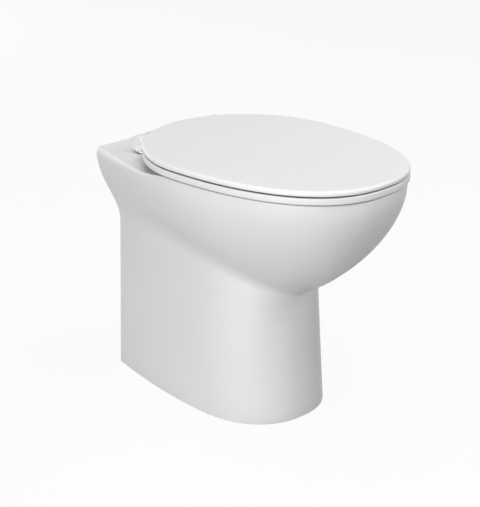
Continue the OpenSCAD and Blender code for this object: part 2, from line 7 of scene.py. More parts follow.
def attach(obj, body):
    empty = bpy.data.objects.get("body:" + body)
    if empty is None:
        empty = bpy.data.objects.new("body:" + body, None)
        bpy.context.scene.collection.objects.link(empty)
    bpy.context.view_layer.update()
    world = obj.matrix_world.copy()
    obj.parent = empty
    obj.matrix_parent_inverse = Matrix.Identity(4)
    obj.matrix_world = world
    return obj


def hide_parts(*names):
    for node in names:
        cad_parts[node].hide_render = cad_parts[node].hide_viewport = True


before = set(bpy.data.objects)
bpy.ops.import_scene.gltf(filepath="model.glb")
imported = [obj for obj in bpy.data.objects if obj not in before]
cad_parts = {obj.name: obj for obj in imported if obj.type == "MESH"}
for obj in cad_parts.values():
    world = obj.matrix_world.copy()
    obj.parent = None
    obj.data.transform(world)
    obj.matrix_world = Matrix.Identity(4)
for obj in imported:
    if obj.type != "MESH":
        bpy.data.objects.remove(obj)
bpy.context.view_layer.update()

# PAN
# One slip-cast body of vitreous china: bowl, deck and narrow skirted foot in a single piece, glazed
# white where it shows and left as bare biscuit inside the hollow foot, underneath and at the wall.
# The trapway, the flush inlet and the screw lugs are luted on with slip before firing.

# Sizes are in millimetres, and the functions that make meshes turn them into metres. The belly and
# its crease have a value at the wall and one at the front, and BELLY_DEPTH one at the side between.
OVERALL_D = 528.0
WALL_Y = OVERALL_D / 2
MID_Y = WALL_Y - 240.0
DECK_Z = 403.0
DECK_T = 15.0
DECK_HALF = 115.5
RIM_Z = DECK_Z + 12.0
RIM_HALF = 168.5
SEAT_OVER = 2.5
RIM_FRONT = MID_Y + WALL_Y - SEAT_OVER
RIM_POWER = 2.35
RIM_BEND = 1.25
RAMP_START = MID_Y + 6.0
RAMP_LEN = 90.0
RIM_EDGE_IN = 2.0
RIM_EDGE_DOWN = 2.5
DECK_EDGE_IN = 6.0
DECK_EDGE_DOWN = 12.0
FOOT_HALF = 109.5
FOOT_BACK_HALF = 75.5
FOOT_BEND = 1.8
FOOT_FRONT = 132.0
FOOT_POWER = 2.3
FOOT_CHAMFER = 2.0
SIDE_LEAN = 0.032
FRONT_LEAN = 0.067
BELLY_TOP = RIM_Z - 10.0
BELLY_DEPTH = (159.0, 177.0, 218.0)
BELLY_BEND = (1.85, 1.62)
BELLY_POWER = (1.27, 1.9)
CREASE_R = (33.0, 17.0)
CREASE_REACH = 45.0
BOWL_HALF = 134.0
BOWL_FRONT = RIM_FRONT - 32.0
BOWL_BACK = 121.0
BOWL_BACK_TURN = 87.0
BOWL_BACK_POWER = 2.1
BOWL_SIDE_BEND = 1.3
BOWL_FRONT_BEND = 1.8
BOWL_POWER = 1.15
BOWL_T = 9.0
BOWL_T_EASE = 20.0
LIP_R = 10.0
WATER_Z = 190.0
SUMP_DEPTH = 112.0
SUMP_R = 57.0
SUMP_Z = WATER_Z - SUMP_DEPTH
SKIRT_T = 11.0
HOLLOW_TOP = DECK_Z - DECK_T
HOLLOW_SIDE = 220.0
HOLLOW_FRONT = 195.0
RISE_START = MID_Y + 50.0
RISE_LEN = 110.0

# The outlines are drawn by rays: stations from the wall to the widest place, then a fan to the front.
SIDE_RAYS = 30
FAN_RAYS = 54
RAYS = SIDE_RAYS + FAN_RAYS
SIDE_SHARE = 0.45


def mix(a, b, t):
    return a + (b - a) * t


def clamp(v):
    return min(1.0, max(0.0, v))


def smooth(v):
    return clamp(v) ** 2 * (3 - 2 * clamp(v))


def sin(degrees):
    return math.sin(math.radians(degrees))


def cos(degrees):
    return math.cos(math.radians(degrees))


def egg(half_w, half_l, power, turn):
    """Radius of an oval outline in one direction, where a power of 2 gives an ellipse."""
    return ((abs(cos(turn)) / half_w) ** power + (abs(sin(turn)) / half_l) ** power) ** (-1 / power)


def bend3(values, t):
    """A curve through three values: at the wall, at the bowl's widest place and at the front."""
    s = SIDE_SHARE
    a, b, c = values
    return a * (t - s) * (t - 1) / s + b * t * (t - 1) / (s * (s - 1)) + c * t * (t - s) / (1 - s)


def side(i):
    """How far towards the wall a ray lies: 1 at the wall, 0 from the widest place to the front."""
    return max(0.0, 1 - i / SIDE_RAYS)


def turn(i):
    """How far round to the front a ray points: 0 up to the widest place, 90 at the front."""
    return max(0.0, 90 * (i - SIDE_RAYS) / FAN_RAYS)


def share(i):
    """How far along the outline a ray lies, from 0 at the wall to 1 at the front."""
    return mix(SIDE_SHARE * (1 - side(i)), 1, turn(i) / 90)


def foot_r(i, z):
    if side(i):
        return mix(FOOT_HALF, FOOT_BACK_HALF, side(i) ** FOOT_BEND) - SIDE_LEAN * z
    lean = mix(SIDE_LEAN, FRONT_LEAN, sin(turn(i)) ** 2)
    return egg(FOOT_HALF, FOOT_FRONT, FOOT_POWER, turn(i)) - lean * z


def rim_r(i):
    if side(i):
        return mix(RIM_HALF, DECK_HALF, side(i) ** RIM_BEND)
    return egg(RIM_HALF, RIM_FRONT, RIM_POWER, turn(i))


def skin(i, z):
    """Outside of the pan: the bowl's belly and the foot, run into each other over a soft crease."""
    t = share(i)
    drop = clamp((BELLY_TOP - z) / bend3(BELLY_DEPTH, t))
    belly = rim_r(i) * (1 - drop ** mix(*BELLY_BEND, t)) ** (1 / mix(*BELLY_POWER, t))
    foot = foot_r(i, z)
    blend = mix(*CREASE_R, t)
    near = max(blend - abs(foot - belly), 0) / blend
    return max(foot, belly) + near * near * blend / 4


def crease_z(i):
    """The height at which belly and foot meet."""
    t = share(i)
    narrow = 1 - (foot_r(i, RIM_Z / 2) / rim_r(i)) ** mix(*BELLY_POWER, t)
    return BELLY_TOP - bend3(BELLY_DEPTH, t) * narrow ** (1 / mix(*BELLY_BEND, t))


def top_z(y):
    """The height of the rim, of the deck behind it and of the ramp between them."""
    return mix(RIM_Z, DECK_Z, smooth((y - RAMP_START) / RAMP_LEN))


def back_y(i, back):
    return mix(MID_Y, back, side(i))


def edge_in(i):
    """How far in the top edge rolls: crisp under the seat and soft at the deck."""
    return mix(RIM_EDGE_IN, DECK_EDGE_IN, smooth(side(i)))


def edge_down(i):
    return mix(RIM_EDGE_DOWN, DECK_EDGE_DOWN, smooth(side(i)))


def edge_z(i):
    return top_z(back_y(i, WALL_Y)) - edge_down(i)


def bowl_turn(i):
    """The way a ray points inside the bowl: as outside at the front, and fanned out at the back."""
    return turn(i) - BOWL_BACK_TURN * side(i)


def bowl_rim(i):
    if side(i):
        return egg(BOWL_HALF, BOWL_BACK, BOWL_BACK_POWER, bowl_turn(i))
    return egg(BOWL_HALF, BOWL_FRONT, RIM_POWER, turn(i))


def bowl_point(i, r, z):
    return r * cos(bowl_turn(i)), MID_Y - r * sin(bowl_turn(i)), z


def bowl_top(i):
    return top_z(bowl_point(i, bowl_rim(i), 0)[1])


def sump_share(z, depth):
    """The share of its full radius that the sump has at a height, down to its round bottom."""
    return math.sqrt(1 - clamp((WATER_Z - z) / depth) ** 3)


def bowl_r(i, z):
    if z < WATER_Z:
        return SUMP_R * sump_share(z, SUMP_DEPTH)
    up = clamp((z - WATER_Z) / (bowl_top(i) - LIP_R - WATER_Z))
    bend = mix(BOWL_SIDE_BEND, BOWL_FRONT_BEND, max(0.0, sin(bowl_turn(i))) ** 2)
    return mix(SUMP_R, bowl_rim(i), (1 - (1 - up) ** bend) ** (1 / BOWL_POWER))


def under_r(i, z):
    """Underside of bowl and sump, a wall's thickness outside them."""
    if z < WATER_Z:
        return (SUMP_R + BOWL_T) * sump_share(z, SUMP_DEPTH + BOWL_T)
    return bowl_r(i, z + BOWL_T * clamp((z - WATER_Z) / BOWL_T_EASE)) + BOWL_T


def hollow_z(i):
    """Roof of the hollow inside the skirt, which rises to the underside of the deck."""
    front = mix(HOLLOW_SIDE, HOLLOW_FRONT, smooth(turn(i) / 90))
    return mix(front, HOLLOW_TOP, smooth((back_y(i, WALL_Y) - RISE_START) / RISE_LEN))


def side_point(i, r, z, back=WALL_Y):
    """A point straight out from a station on the side, or out from the middle of the fan."""
    if side(i):
        return r, back_y(i, back), z
    return r * cos(turn(i)), MID_Y - r * sin(turn(i)), z


def both_halves(point):
    """A ring from the points of its right half, which run from the wall to the front."""
    half = [point(i) for i in range(RAYS + 1)]
    return half + [(-x, y, z) for x, y, z in reversed(half[:-1])]


def skin_ring(z_of, inset=0.0, back=WALL_Y):
    return both_halves(lambda i: side_point(i, skin(i, z_of(i)) - inset, z_of(i), back))


def bowl_ring(z_of, radius):
    return both_halves(lambda i: bowl_point(i, radius(i, z_of(i)), z_of(i)))


def steps(count, first=0):
    return [k / count for k in range(first, count + 1)]


def quarter(count, first=0):
    """Sine and cosine for the points of a quarter round."""
    return [(sin(90 * t), cos(90 * t)) for t in steps(count, first)]


def metres(point):
    return Vector(point) / 1000


MERGE_DIST = 1e-6


def loft(rings, slots=None, closed=False):
    """Lays a grid of quads ring by ring, and merges its seam and its poles."""
    rings = rings + rings[:1] if closed else rings
    around = len(rings[0])
    bm = bmesh.new()
    bmesh.ops.create_grid(bm, x_segments=around, y_segments=len(rings) - 1, size=1)
    for k, vert in enumerate(bm.verts):
        vert.co = metres(rings[k // (around + 1)][k % (around + 1) % around])
    for k, face in enumerate(bm.faces):
        face.material_index = slots[k // around] if slots else 0
    bmesh.ops.remove_doubles(bm, verts=bm.verts, dist=MERGE_DIST)
    bmesh.ops.recalc_face_normals(bm, faces=bm.faces)
    return bm


def piece(name, bm, *materials, slot=None):
    """Makes an object of a bmesh, with all faces of one material where a slot is given."""
    if slot is not None:
        for face in bm.faces:
            face.material_index = slot
    mesh = bpy.data.meshes.new(name)
    bm.to_mesh(mesh)
    bm.free()
    for each in materials:
        mesh.materials.append(each)
    made = bpy.data.objects.new(name, mesh)
    bpy.context.scene.collection.objects.link(made)
    return made


def joined(base, how, tools):
    """Adds the tools to the base or cuts them out of it, and clears them away."""
    for tool in tools:
        step = base.modifiers.new(how, "BOOLEAN")
        step.operation = how
        step.solver = "MANIFOLD"
        step.object = tool
    depsgraph = bpy.context.evaluated_depsgraph_get()
    base.data = bpy.data.meshes.new_from_object(base.evaluated_get(depsgraph))
    base.modifiers.clear()
    for tool in tools:
        bpy.data.objects.remove(tool)
    return base


# Joining and cutting tools reach this far past a face that they meet.
OVER = 1.0
ROUND_STEPS = 72
CORNER_STEPS = 5
Y_AXIS = 1
Z_AXIS = 2


def rod(start, end, r, slot=0):
    """A round bar from one point to another."""
    start = metres(start)
    end = metres(end)
    upright = (end - start).to_track_quat("Z", "Y").to_matrix().to_4x4()
    bm = bmesh.new()
    bmesh.ops.create_cone(bm, cap_ends=True, segments=ROUND_STEPS, radius1=r / 1000, radius2=r / 1000,
                          depth=(end - start).length,
                          matrix=Matrix.Translation((start + end) / 2) @ upright)
    return piece("tool", bm, slot=slot)


def ball(at, r, slot=0):
    bm = bmesh.new()
    bmesh.ops.create_uvsphere(bm, u_segments=ROUND_STEPS, v_segments=ROUND_STEPS // 2,
                              radius=r / 1000, matrix=Matrix.Translation(metres(at)))
    return piece("tool", bm, slot=slot)


def block(low, high, slot=0, round_r=0.0, along=None):
    """A box whose edges are rounded, all of them or only those that run along one axis."""
    low = metres(low)
    high = metres(high)
    bm = bmesh.new()
    bmesh.ops.create_cube(bm, size=1, matrix=Matrix.Translation((low + high) / 2)
                          @ Matrix.Diagonal((*(high - low), 1)))
    if round_r:
        edges = [e for e in bm.edges
                 if along is None or abs((e.verts[0].co - e.verts[1].co)[along]) > MERGE_DIST]
        bmesh.ops.bevel(bm, geom=edges, offset=round_r / 1000, segments=CORNER_STEPS, profile=0.5,
                        affect="EDGES", material=-1)
    return piece("tool", bm, slot=slot)


def side_block(s, low, high, **kind):
    """A block placed on the right, or its mirror image on the left where s is -1."""
    ends = sorted((s * low[0], s * high[0]))
    return block((ends[0], *low[1:]), (ends[1], *high[1:]), **kind)


SHARP_ANGLE = 30


def shaded(made):
    """Smooth shading that stays crisp where two faces meet at more than the sharp angle."""
    made.data.polygons.foreach_set("use_smooth", [True] * len(made.data.polygons))
    made.data.set_sharp_from_angle(angle=math.radians(SHARP_ANGLE))
    return made


def fitted(made, body, slot, *nodes):
    """Says what a piece rides on and which solids it stands for; the slot is not used."""
    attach(made, body)
    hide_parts(*nodes)


def linear(hexa):
    """An sRGB hex colour as linear light."""
    parts = [int(hexa[k:k + 2], 16) / 255 for k in (0, 2, 4)]
    return (*(c / 12.92 if c <= 0.04045 else ((c + 0.055) / 1.055) ** 2.4 for c in parts), 1.0)


def material(name):
    made = bpy.data.materials.new(name)
    made.use_nodes = True
    made.node_tree.nodes.clear()
    return made


def add(made, kind, out, inputs, **settings):
    """Adds a node, sets or links its inputs, by name or number, and gives back the named output."""
    tree = made.node_tree
    node = tree.nodes.new(kind)
    for name, value in settings.items():
        setattr(node, name, value)
    for name, value in inputs.items():
        socket = node.inputs[name] if isinstance(name, int) else next(
            s for s in node.inputs if s.name == name and s.enabled)
        if isinstance(value, bpy.types.NodeSocket):
            tree.links.new(value, socket)
        else:
            socket.default_value = value
    return next((s for s in node.outputs if s.name == out and s.enabled), None)


def patches(width):
    """The scale of a noise whose patches are this many millimetres wide."""
    return 1000 / (2 * width)


# Vitreous china under a thick opaque glaze, sprayed on and fired. The glaze pools in slow waves some
# 45 mm long, which bend its reflections a little, its tone and sheen drift over patches 65 mm wide,
# and it carries fine specks of about 1 mm. The photograph shows no sharp reflection in it.
china = material("glazed_vitreous_china")
place = add(china, "ShaderNodeTexCoord", "Object", {})
pooling = add(china, "ShaderNodeTexNoise", "Fac", {
    "Vector": place, "Scale": patches(22.5), "Detail": 1.0})
clouds = add(china, "ShaderNodeTexNoise", "Fac", {
    "Vector": place, "Scale": patches(65), "Detail": 2.0})
specks = add(china, "ShaderNodeTexNoise", "Fac", {
    "Vector": place, "Scale": patches(1), "Detail": 0.0})
waves = add(china, "ShaderNodeBump", "Normal", {
    "Height": pooling, "Distance": 0.00015, "Strength": 0.5})
tone = add(china, "ShaderNodeMix", "Result", {
    "Factor": clouds, "A": linear("EBEBEA"), "B": linear("F3F3F2")}, data_type="RGBA")
speck_here = add(china, "ShaderNodeMapRange", "Result", {
    "Value": specks, "From Min": 0.7, "From Max": 0.8, "To Max": 0.25})
glaze = add(china, "ShaderNodeMix", "Result", {
    "Factor": speck_here, "A": tone, "B": linear("D9D6CF")}, data_type="RGBA")
melt = add(china, "ShaderNodeMapRange", "Result", {
    "Value": clouds, "From Min": 0.3, "From Max": 0.7, "To Min": 0.38, "To Max": 0.46})
coat = add(china, "ShaderNodeBsdfPrincipled", "BSDF", {
    "Base Color": glaze, "Roughness": melt, "IOR": 1.52, "Normal": waves})
add(china, "ShaderNodeOutputMaterial", None, {"Surface": coat})

# The same clay fired without glaze: dry, creamy and dull, with grit of about 1.5 mm and the darker
# marks, some 10 mm wide, that the sponge leaves when the cast seams are wiped.
biscuit = material("unglazed_vitreous_biscuit")
place = add(biscuit, "ShaderNodeTexCoord", "Object", {})
sponged = add(biscuit, "ShaderNodeTexNoise", "Fac", {
    "Vector": place, "Scale": patches(10), "Detail": 5.0})
grit = add(biscuit, "ShaderNodeTexNoise", "Fac", {
    "Vector": place, "Scale": patches(1.5), "Detail": 3.0})
tone = add(biscuit, "ShaderNodeMix", "Result", {
    "Factor": sponged, "A": linear("D2CABB"), "B": linear("EFEAE0")}, data_type="RGBA")
grain = add(biscuit, "ShaderNodeBump", "Normal", {
    "Height": grit, "Distance": 0.0003, "Strength": 0.6})
clay = add(biscuit, "ShaderNodeBsdfPrincipled", "BSDF", {
    "Base Color": tone, "Roughness": 0.82, "Normal": grain})
add(biscuit, "ShaderNodeOutputMaterial", None, {"Surface": clay})

# The body is laid in rings: under the sump, over the roof of the hollow, down inside the skirt, up
# the outside, over deck and rim and down the bowl.
SUMP_RINGS = 12
ROOF_RINGS = 10
HOLLOW_RINGS = 24
CHAMFER_RINGS = 4
FOOT_RINGS = 8
CREASE_RINGS = 28
BELLY_RINGS = 18
EDGE_RINGS = 8
DECK_RINGS = 5
BOWL_RINGS = 24

sump_under = both_halves(lambda i: (0.0, MID_Y, SUMP_Z - BOWL_T))
sump_floor = both_halves(lambda i: (0.0, MID_Y, SUMP_Z))
bare_rings = [sump_under]
for s, c in reversed(quarter(SUMP_RINGS)[:-1]):
    bare_rings.append(bowl_ring(lambda i: WATER_Z - (SUMP_DEPTH + BOWL_T) * s, under_r))
for t in steps(ROOF_RINGS, 1):
    bare_rings.append(bowl_ring(lambda i: mix(WATER_Z, hollow_z(i), t), under_r))
for t in reversed(steps(HOLLOW_RINGS)):
    bare_rings.append(skin_ring(lambda i: hollow_z(i) * t, SKIRT_T, WALL_Y - SKIRT_T))
outer_rings = []
for s, c in quarter(CHAMFER_RINGS):
    outer_rings.append(both_halves(
        lambda i: side_point(i, skin(i, 0) - FOOT_CHAMFER * (1 - s), FOOT_CHAMFER * (1 - c))))
for t in steps(FOOT_RINGS, 1):
    outer_rings.append(skin_ring(lambda i: mix(FOOT_CHAMFER, crease_z(i) - CREASE_REACH, t)))
for t in steps(CREASE_RINGS, 1):
    outer_rings.append(skin_ring(lambda i: crease_z(i) + CREASE_REACH * (2 * t - 1)))
for t in steps(BELLY_RINGS, 1):
    outer_rings.append(skin_ring(lambda i: mix(crease_z(i) + CREASE_REACH, edge_z(i), t)))
for s, c in quarter(EDGE_RINGS, 1):
    outer_rings.append(both_halves(lambda i: side_point(
        i, skin(i, edge_z(i)) - edge_in(i) * (1 - c), edge_z(i) + edge_down(i) * s)))
inner_rings = []
for s, c in quarter(EDGE_RINGS):
    inner_rings.append(both_halves(
        lambda i: bowl_point(i, bowl_rim(i) + LIP_R * (1 - s), bowl_top(i) - LIP_R * (1 - c))))
deck_rings = []
for t in steps(DECK_RINGS, 1)[:-1]:
    across = [Vector(a).lerp(Vector(b), t) for a, b in zip(outer_rings[-1], inner_rings[0])]
    deck_rings.append([(p.x, p.y, top_z(p.y)) for p in across])
for t in steps(BOWL_RINGS, 1):
    inner_rings.append(bowl_ring(lambda i: mix(bowl_top(i) - LIP_R, WATER_Z, t), bowl_r))
for s, c in quarter(SUMP_RINGS, 1)[:-1]:
    inner_rings.append(bowl_ring(lambda i: WATER_Z - SUMP_DEPTH * s, bowl_r))

GLAZED = 0
BARE = 1
rings = bare_rings + outer_rings + deck_rings + inner_rings + [sump_floor]
slots = [BARE] * len(bare_rings) + [GLAZED] * (len(rings) - len(bare_rings) - 1)
pan = piece("pan_body", loft(rings, slots), china, biscuit)

TRAP_R = 36.0
TRAP_WALL = 10.0
TRAP_Z = SUMP_Z + TRAP_R + 4.0
ELBOW_SWELL = 1.5
OUTLET_Z = 185.0
OUTLET_R = 51.0
SPIGOT_LEN = 50.0
SPIGOT_ROOT = 12.0
TRAP_ROOT = (0, MID_Y + 14.0, TRAP_Z)
TRAP_IN = (0, MID_Y + 18.0, TRAP_Z)
TRAP_TURN = (0, MID_Y + 86.0, TRAP_Z)
TRAP_WEIR = (0, MID_Y + 126.0, WATER_Z + TRAP_R - 2.0)
TRAP_OUT = (0, WALL_Y - 5.0, OUTLET_Z)
TRAP_DOWN = (0, TRAP_OUT[1] - SPIGOT_LEN - SPIGOT_ROOT, OUTLET_Z)


def bent_rod(points, r, slot):
    """Round bars from point to point, with a ball a little wider than they are at each bend."""
    rods = [rod(start, end, r, slot) for start, end in zip(points, points[1:])]
    return rods + [ball(at, r + ELBOW_SWELL, slot) for at in points[1:-1]]


# The trapway's pipe stops in the middle of the bowl's wall, so it is cut back by a core of that shape.
CORE_LOW = SUMP_Z - BOWL_T / 2
CORE_HIGH = WATER_Z + 100.0
CORE_RINGS = 40
CORE_POINTS = 90
core_turns = [360 * k / CORE_POINTS for k in range(CORE_POINTS)]
core_rings = [[(0, MID_Y, CORE_LOW)] * CORE_POINTS]
for z in [mix(CORE_LOW, CORE_HIGH, t) for t in steps(CORE_RINGS)]:
    middle = (bowl_r(0, max(z, SUMP_Z)) + under_r(0, z)) / 2
    core_rings.append([(middle * cos(a), MID_Y + middle * sin(a), z) for a in core_turns])
core_rings.append([(0, MID_Y, CORE_HIGH)] * CORE_POINTS)
core = piece("tool", loft(core_rings))
pipes = bent_rod((TRAP_ROOT, TRAP_TURN, TRAP_WEIR, TRAP_DOWN, TRAP_OUT), TRAP_R + TRAP_WALL, BARE)
pipes.append(rod((0, TRAP_OUT[1] - SPIGOT_LEN, OUTLET_Z), TRAP_OUT, OUTLET_R, BARE))
trapway = joined(joined(pipes[0], "UNION", pipes[1:]), "DIFFERENCE", [core])

# The flush comes in through a socket at the wall, rises in a chamber and leaves by a wide low slot.
INLET_Z = 335.0
INLET_R = 27.5
INLET_END = WALL_Y - 48.0
INLET_WALL = 9.0
CHANNEL_R = INLET_R - 5.0
BOWL_BACK_Y = MID_Y + BOWL_BACK
CHAMBER_FRONT = BOWL_BACK_Y + 15.0
CHAMBER_BACK = CHAMBER_FRONT + 36.0
CHAMBER_EDGE_R = 4.0
SLOT_HALF = 35.0
SLOT_TOP = DECK_Z - 21.0
SLOT_LOW = SLOT_TOP - 20.0
SLOT_FRONT = BOWL_BACK_Y - 20.0
SLOT_EDGE_R = 3.0

# The foot is open at the wall for the pipes and has a lug for a floor screw on either side. The deck
# has two holes for the fixing bolts of the seat.
OPENING_HALF = 60.0
OPENING_LOW = -30.0
OPENING_TOP = 262.0
OPENING_EDGE_R = 24.0
FLOOR_HOLE_X = 60.0
FLOOR_HOLE_Y = WALL_Y - 42.0
FLOOR_HOLE_R = 4.25
FLOOR_LUG_H = 14.0
FLOOR_LUG_HALF = 14.0
FLOOR_LUG_OUT = 18.0
FLOOR_LUG_EDGE_R = 3.0
FIXING_X = 77.5
FIXING_R = 7.0
HINGE_Y = WALL_Y - 75.0

inlet = rod((0, BOWL_BACK_Y + OVER, INLET_Z), (0, WALL_Y - SKIRT_T / 2, INLET_Z), INLET_R + INLET_WALL,
            BARE)
chamber = block((-SLOT_HALF - INLET_WALL, CHAMBER_FRONT - INLET_WALL, INLET_Z),
                (SLOT_HALF + INLET_WALL, CHAMBER_BACK + INLET_WALL, HOLLOW_TOP + OVER),
                slot=BARE, round_r=CHAMBER_EDGE_R, along=Z_AXIS)
opening = block((-OPENING_HALF, WALL_Y - SKIRT_T - 2 * OVER, OPENING_LOW),
                (OPENING_HALF, WALL_Y + OVER, OPENING_TOP),
                slot=BARE, round_r=OPENING_EDGE_R, along=Y_AXIS)
floor_lugs = [side_block(s, (FLOOR_HOLE_X - FLOOR_LUG_HALF, FLOOR_HOLE_Y - FLOOR_LUG_HALF, 0),
                         (FLOOR_HOLE_X + FLOOR_LUG_OUT, FLOOR_HOLE_Y + FLOOR_LUG_HALF, FLOOR_LUG_H),
                         slot=BARE, round_r=FLOOR_LUG_EDGE_R, along=Z_AXIS) for s in (-1, 1)]
joined(pan, "DIFFERENCE", [opening])
joined(pan, "UNION", [trapway, inlet, chamber, *floor_lugs])

cuts = bent_rod((TRAP_IN, TRAP_TURN, TRAP_WEIR, TRAP_DOWN, (0, TRAP_OUT[1] + SPIGOT_LEN, OUTLET_Z)),
                TRAP_R, GLAZED)
cuts.append(rod((0, INLET_END, INLET_Z), (0, WALL_Y + OVER, INLET_Z), INLET_R, BARE))
cuts.append(rod((0, (CHAMBER_FRONT + CHAMBER_BACK) / 2, INLET_Z), (0, INLET_END + OVER, INLET_Z),
                CHANNEL_R, BARE))
cuts.append(block((-SLOT_HALF, CHAMBER_FRONT, INLET_Z), (SLOT_HALF, CHAMBER_BACK, SLOT_TOP), slot=BARE))
cuts.append(block((-SLOT_HALF, SLOT_FRONT, SLOT_LOW), (SLOT_HALF, CHAMBER_FRONT + OVER, SLOT_TOP),
                  slot=GLAZED, round_r=SLOT_EDGE_R, along=Y_AXIS))
for s in (-1, 1):
    cuts.append(rod((s * FLOOR_HOLE_X, FLOOR_HOLE_Y, -OVER),
                    (s * FLOOR_HOLE_X, FLOOR_HOLE_Y, FLOOR_LUG_H + OVER), FLOOR_HOLE_R, BARE))
    cuts.append(rod((s * FIXING_X, HINGE_Y, HOLLOW_TOP - OVER), (s * FIXING_X, HINGE_Y, DECK_Z + OVER),
                    FIXING_R, GLAZED))
joined(pan, "DIFFERENCE", [joined(cuts[0], "UNION", cuts[1:])])
fitted(shaded(pan), "base", "glazed_china", "pan", "pan_back")

# FLUSH GUIDE
# A grey-white polypropylene block pressed into the slot at the back of the bowl. Its two windows send
# the flush left and right round the open bowl, which is what stands in for a box rim.
GUIDE_FRONT = BOWL_BACK_Y - 2.0
GUIDE_LEN = 14.0
GUIDE_PLAY = 0.3
GUIDE_RIB = 3.0
GUIDE_EDGE_R = 0.8
WINDOW_EDGE_R = 1.2

# Injection moulded polypropylene: waxy, satin, with the fine matt texture of a sparked mould, drawn
# at 1.5 mm so that it can be seen at all.
polypropylene = material("moulded_white_polypropylene")
place = add(polypropylene, "ShaderNodeTexCoord", "Object", {})
spark = add(polypropylene, "ShaderNodeTexNoise", "Fac", {
    "Vector": place, "Scale": patches(1.5), "Detail": 2.0})
tone = add(polypropylene, "ShaderNodeMix", "Result", {
    "Factor": spark, "A": linear("D6D6D4"), "B": linear("E2E2E0")}, data_type="RGBA")
texture = add(polypropylene, "ShaderNodeBump", "Normal", {
    "Height": spark, "Distance": 0.00006, "Strength": 0.5})
waxy = add(polypropylene, "ShaderNodeBsdfPrincipled", "BSDF", {
    "Base Color": tone, "Roughness": 0.42, "IOR": 1.49, "Normal": texture})
add(polypropylene, "ShaderNodeOutputMaterial", None, {"Surface": waxy})


def named(made, name, *materials):
    """Gives a piece its final name and materials."""
    made.name = made.data.name = name
    made.data.materials.clear()
    for each in materials:
        made.data.materials.append(each)
    return made


guide_low = (-SLOT_HALF + GUIDE_PLAY, GUIDE_FRONT, SLOT_LOW + GUIDE_PLAY)
guide_high = (SLOT_HALF - GUIDE_PLAY, GUIDE_FRONT + GUIDE_LEN, SLOT_TOP - GUIDE_PLAY)
guide = block(guide_low, guide_high, round_r=GUIDE_EDGE_R)
joined(guide, "DIFFERENCE", [
    side_block(s, (2 * GUIDE_RIB, GUIDE_FRONT - OVER, guide_low[2] + GUIDE_RIB),
               (guide_high[0] - GUIDE_RIB, GUIDE_FRONT + GUIDE_LEN + OVER, guide_high[2] - GUIDE_RIB),
               round_r=WINDOW_EDGE_R, along=Y_AXIS) for s in (-1, 1)])
fitted(shaded(named(guide, "flush_splitter", polypropylene)), "base", "guide_plastic", "flush_guide")

# SEAT
# A ring moulded in one shot from a white thermoset, heavy and hard, with the outline of the rim, a
# low bead along its outer edge and a dished inner edge. Two lugs at the back carry it on the hinge
# line, and it is notched for the posts and for the lugs of the cover.
SEAT_MID_Y = MID_Y - 5.0
SEAT_HALF = RIM_HALF + SEAT_OVER
SEAT_FRONT = SEAT_MID_Y + WALL_Y
SEAT_TAIL = HINGE_Y + 7.0 - SEAT_MID_Y
SEAT_FRONT_POWER = 2.38
SEAT_TAIL_POWER = 1.93
SEAT_Z = RIM_Z + 2.5
SEAT_TOP = SEAT_Z + 10.5
HOLE_HALF = 106.0
HOLE_FRONT = SEAT_FRONT - 66.0
HOLE_BACK = SEAT_TAIL - 85.0
HOLE_POWER = 2.15
LOW_R = 1.5
SEAT_EDGE_R = 2.0
SEAT_INNER_R = 5.0
BEAD_W = 9.0
BEAD_H = 0.9
DISH_W = 22.0
DISH_H = 2.0
HINGE_Z = 422.7
LUG_R = 12.0
LUG_EDGE = 0.5
BARREL_GAP = 0.3
POST_R = 13.4
POST_LEN = 27.0
SEAT_LUG_LEN = 15.7
COVER_LUG_LEN = 16.5
POST = (FIXING_X - POST_LEN / 2, FIXING_X + POST_LEN / 2)
SEAT_LUG = (POST[0] - BARREL_GAP - SEAT_LUG_LEN, POST[0] - BARREL_GAP)
COVER_LUG = (SEAT_LUG[0] - BARREL_GAP - COVER_LUG_LEN, SEAT_LUG[0] - BARREL_GAP)
POST_CLEAR = 0.6
CLEAR_Y = HINGE_Y - POST_R - POST_CLEAR
NOTCH_OVER = 5.0
NOTCH_EDGE_R = 1.5
PLAY = 0.02
PIN_R = 4.0
PIN_PLAY = 0.2
BUSH_R = 5.5
DAMPER_R = 9.0
DAMPER_LEN = 13.4
POCKET_LEN = DAMPER_LEN + 4 * PLAY
BORE_EDGE = 0.1
BAR_EDGE_STEPS = 4
EGG_POINTS = 288
LOW_RINGS = 5
SEAT_EDGE_RINGS = 6
BEAD_RINGS = 4
DISH_RINGS = 6


def egg_ring(half_w, front, tail, powers, z):
    """A ring of points in the shape of an egg about the middle of the seat."""
    ring = []
    for a in [360 * k / EGG_POINTS for k in range(EGG_POINTS)]:
        r = egg(half_w, front, powers[0], a) if a < 180 else egg(half_w, tail, powers[1], a)
        ring.append((r * cos(a), SEAT_MID_Y - r * sin(a), z))
    return ring


def outline(inset, z):
    return egg_ring(SEAT_HALF - inset, SEAT_FRONT - inset, SEAT_TAIL - inset,
                    (SEAT_FRONT_POWER, SEAT_TAIL_POWER), z)


def hole(outset, z):
    return egg_ring(HOLE_HALF + outset, HOLE_FRONT + outset, HOLE_BACK + outset,
                    (HOLE_POWER, HOLE_POWER), z)


